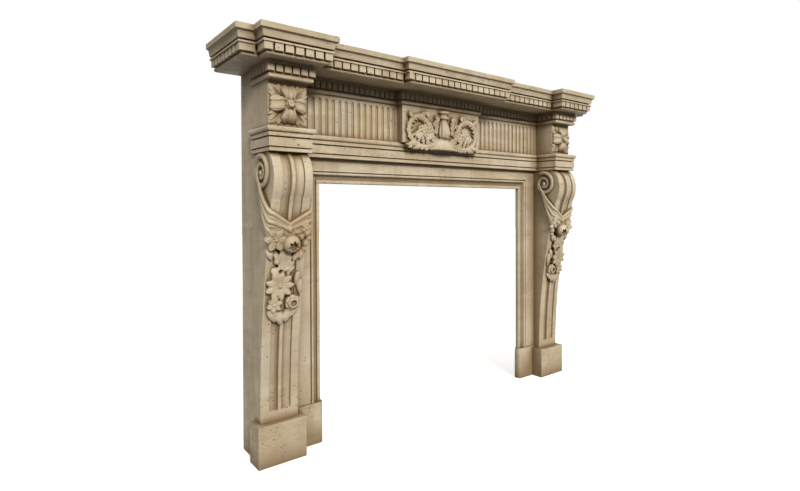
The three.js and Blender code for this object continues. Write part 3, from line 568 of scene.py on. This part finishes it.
ornament = carved("console_carving_right", console_sides() + console_drop(), voxel=0.0020)
body_points, body_faces = console_body()
body = bpy.data.meshes.new("console_right_body")
body.from_pydata(to_metres(body_points).tolist(), [], body_faces)
body.flip_normals()
body.shade_smooth()
body.set_sharp_from_angle(angle=math.radians(32))
for side, turn_over in (("right", False), ("left", True)):
    own = mirror_mesh(ornament, "console_carving_left") if turn_over else ornament
    stone_piece(f"console_carving_{side}", own, f"console_{side}")
    own = mirror_mesh(body, "console_left_body") if turn_over else body
    stone_piece(f"console_shaft_{side}", own, f"console_{side}")


# The frieze: square blocks over the legs with a carved rosette each, and between them the tablet with an
# urn among leaf scrolls. They are travertine slabs with their crowns of dentils cut on them, set on the
# caps and the architrave; their carving stands up to 30 mm proud of the flat ground.
BLOCK_FACE, TABLET_FACE = 236.0, 173.0
FRIEZE_FOOT, CARVED_TOP, GROUND_CUT = 1117.5, 1266.0, 0.2
ARRIS_WEAR = 0.0011


def cleared(node, face):
    """A copy of a CAD stone with the carved field cut back to its ground."""
    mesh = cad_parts[node].data.copy()
    points = np.empty(len(mesh.vertices) * 3)
    mesh.vertices.foreach_get("co", points)
    points = points.reshape(-1, 3)
    ground = (WALL_PLANE - face + GROUND_CUT) / 1000
    field = (points[:, 2] < CARVED_TOP / 1000) & (points[:, 1] < ground)
    points[field, 1] = ground
    mesh.vertices.foreach_set("co", points.ravel())
    mesh.shade_flat()
    return mesh


def wear_arrises(stone):
    """Slightly rounded arrises on a stone with flat faces."""
    weld = stone.modifiers.new("weld", "WELD")
    weld.merge_threshold = 0.00002
    worn = stone.modifiers.new("worn", "BEVEL")
    worn.width = ARRIS_WEAR
    worn.segments = 2
    worn.limit_method = "ANGLE"
    worn.angle_limit = math.radians(28)
    worn.harden_normals = True


def on_face(part, x, z, face, lift=0.0, angle=0.0):
    """Puts a part made on local axes on a flat upright face."""
    points, faces = turned(part, angle)
    return np.stack([x + points[:, 0], face + lift + points[:, 2], z + points[:, 1]], 1), faces


def rosette(x, z):
    """Four broad petals with rolled, slit tips over veined leaves that reach for the corners, and a bud."""
    parts = []
    for k in range(4):
        quarter = k * math.pi / 2
        leaf = blade(94, 46, 6, groove=5, ribs=6, rib=2.2, point=0.85)
        parts.append(on_face(leaf, x, z, BLOCK_FACE, 0, quarter + math.pi / 4))
        for lean in (-1, 1):
            slip = blade(80, 17, 6, groove=3, point=0.9, curl=2)
            parts.append(on_face(slip, x, z, BLOCK_FACE, 1, quarter + math.pi / 4 + lean * 0.30))
            lobe = blade(63, 31, 20, curl=-5, point=1.7, ribs=4, rib=1.3)
            lobe = turned(lobe, -lean * 0.03, shift=(lean * 12, 1, 0))
            parts.append(on_face(lobe, x, z, BLOCK_FACE, 7, quarter))
        petal = blade(61, 58, 21, curl=-4, point=1.6, groove=3)
        parts.append(on_face(petal, x, z, BLOCK_FACE, 4, quarter))
    parts.append(on_face(globe(12, tall=1.2), x, z, BLOCK_FACE, 20, 0.6))
    parts.append(on_face(rose(15, 11), x, z, BLOCK_FACE, 20, 0.4))
    return parts


field_middle = (FRIEZE_FOOT + CARVED_TOP) / 2
bud = carved("rosette_right", rosette(LEG_AXIS, field_middle), voxel=0.0014)
for side in ("right", "left"):
    block = stone_piece(f"frieze_stone_{side}", cleared(f"frieze_block_{side}", BLOCK_FACE),
                        f"frieze_block_{side}")
    wear_arrises(block)
    own = bud if side == "right" else mirror_mesh(bud, "rosette_left")
    stone_piece(f"rosette_{side}", own, f"frieze_block_{side}")


def lathe(profile, flat, ribs, rib):
    """A turned form on local axes (y up), squeezed in depth; ribs are gadroons."""
    sides = 64
    angles = np.arange(sides) / sides * 2 * math.pi
    swell = 1 + rib * np.cos(ribs * angles)
    points = [(r * s * math.cos(a), y, r * s * math.sin(a) * flat)
              for r, y in profile for a, s in zip(angles, swell)]
    return np.array(points), capped(len(profile), sides)


def pointing(dx, dz):
    """The angle that turns a leaf to a direction on an upright face."""
    return math.atan2(-dx, dz)


def urn():
    """The urn in the middle of the tablet, on a low mound."""
    # Outlines as radius and height over the frieze's foot, then flatness, gadroons and their depth
    hill = [(70, -22), (67, -14), (55, 2), (40, 16), (29, 25), (24, 29)]
    bowl = [(20, 27), (27, 33), (31, 44), (31, 58), (27, 74), (22, 88), (18, 98), (16, 104)]
    neck = [(16, 102), (20, 106), (27, 109), (29, 113), (25, 117), (20, 120), (20, 127), (26, 130), (30, 134),
            (30, 139), (25, 143), (19, 145)]
    return [on_face(lathe(shape, flat, ribs, rib), 0, FRIEZE_FOOT, TABLET_FACE)
            for shape, flat, ribs, rib in ((hill, 0.40, 0, 0), (bowl, 0.9, 14, 0.07), (neck, 0.85, 0, 0))]


def leaf_scroll():
    """The leaf scroll on the right of the urn: a ribbed stem that rolls up, clad in acanthus leaves."""
    steps = 120
    stops = [(34, 1140), (60, 1114), (98, 1104), (140, 1110), (174, 1134), (186, 1172), (172, 1208),
             (142, 1226), (110, 1222), (88, 1200), (86, 1172), (102, 1154), (126, 1156), (136, 1176),
             (124, 1190)]
    line = smooth_path([(x, TABLET_FACE + 5 + 6 * k / (len(stops) - 1), z)
                        for k, (x, z) in enumerate(stops)], steps)
    along = np.gradient(line, axis=0)
    beside = np.stack([-along[:, 2], 0 * along[:, 1], along[:, 0]], 1)
    beside /= np.linalg.norm(beside, axis=1)[:, None]
    taper = np.linspace(1, 0.45, steps)[:, None]
    parts = [tube(line + beside * apart * taper + [0, rise, 0], [4.6, 4.4, 4, 3.2, 2.4], 12)
             for apart, rise in ((-7, 0), (0, 3), (7, 0))]
    for k in range(4, 100, 5):
        x, _, z = line[k]
        dx, _, dz = line[k + 1] - line[k - 1]
        norm = math.hypot(dx, dz)
        dx, dz = dx / norm, dz / norm
        size = 1.0 - 0.3 * k / 100
        outer = blade(25 * size, 15 * size, 11, curl=7, groove=4, ribs=2, rib=1.0)
        inner = blade(30 * size, 15 * size, 11, curl=6, groove=4, ribs=2, rib=1.0)
        outwards = pointing(dx * 0.8 + dz * 0.6, dz * 0.8 - dx * 0.6)
        inwards = pointing(dx * 0.5 - dz * 0.87, dz * 0.5 + dx * 0.87)
        parts.append(on_face(outer, x, z, TABLET_FACE, 1, outwards))
        parts.append(on_face(inner, x, z, TABLET_FACE, 2, inwards))
    # Larger leaves, as place, length, width and direction
    for x, z, length, width, dx, dz in ((132, 1222, 44, 26, -0.7, 0.55), (164, 1206, 42, 24, 0.5, 0.85),
                                        (150, 1116, 54, 28, 1, -0.16), (122, 1108, 52, 24, 1, -0.30),
                                        (44, 1158, 84, 30, 0.02, 1), (58, 1150, 64, 26, 0.40, 1),
                                        (44, 1136, 50, 22, 0.9, 0.5), (56, 1126, 56, 22, 0.5, 0.87),
                                        (82, 1112, 52, 22, 0.55, 0.85), (110, 1110, 50, 22, 0.35, 0.95),
                                        (140, 1120, 48, 22, -0.25, 0.97), (164, 1146, 44, 20, -0.8, 0.6)):
        leaf = blade(length, width * 1.15, 15, curl=7, groove=6, ribs=3, rib=1.8, lobes=4, lobe=0.4)
        parts.append(on_face(leaf, x, z, TABLET_FACE, 3, pointing(dx, dz)))
    # Rolled leaf tips, as place and radius
    for x, z, radius in ((188, 1104, 9), (44, 1222, 9), (96, 1236, 9), (62, 1198, 7), (184, 1228, 8)):
        parts.append(on_face(globe(radius), x, z, TABLET_FACE, 10))
        curl = [(x + radius * 0.9 * math.cos(a), TABLET_FACE + 17, z + radius * 0.9 * math.sin(a))
                for a in np.linspace(0, 5.2, 20)]
        parts.append(tube(curl, [3.6, 2.6]))
    parts.append(on_face(bloom(6, 22, 10, 1.2, curl=7), 112, 1176, TABLET_FACE, 9, 0.2))
    parts.append(on_face(bloom(5, 15, 8, 1.2, curl=5), 142, 1148, TABLET_FACE, 9, 0.7))
    parts.append(on_face(bloom(5, 14, 8, 1.2, curl=5), 84, 1146, TABLET_FACE, 9, 0.1))
    return parts


halves = leaf_scroll()
halves += [(np.asarray(points) * [-1, 1, 1], faces) for points, faces in halves]
relief = carved("tablet_carving", halves + urn(), voxel=0.0017)
tablet = stone_piece("frieze_tablet_stone", cleared("frieze_tablet", TABLET_FACE), "frieze_tablet")
wear_arrises(tablet)
stone_piece("tablet_carving", relief, "frieze_tablet")


# The plain stones: plinths, caps, side returns, jambs, lintel, architrave, fluted panels, cornice and shelf.
# Each is sawn and moulded from travertine and stands on the stone below it, against the wall. Their
# arrises are worn slightly round.
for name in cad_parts:
    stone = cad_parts[name]
    if not stone.hide_render:
        stone.data.materials.clear()
        stone.data.materials.append(STONE)
        wear_arrises(stone)
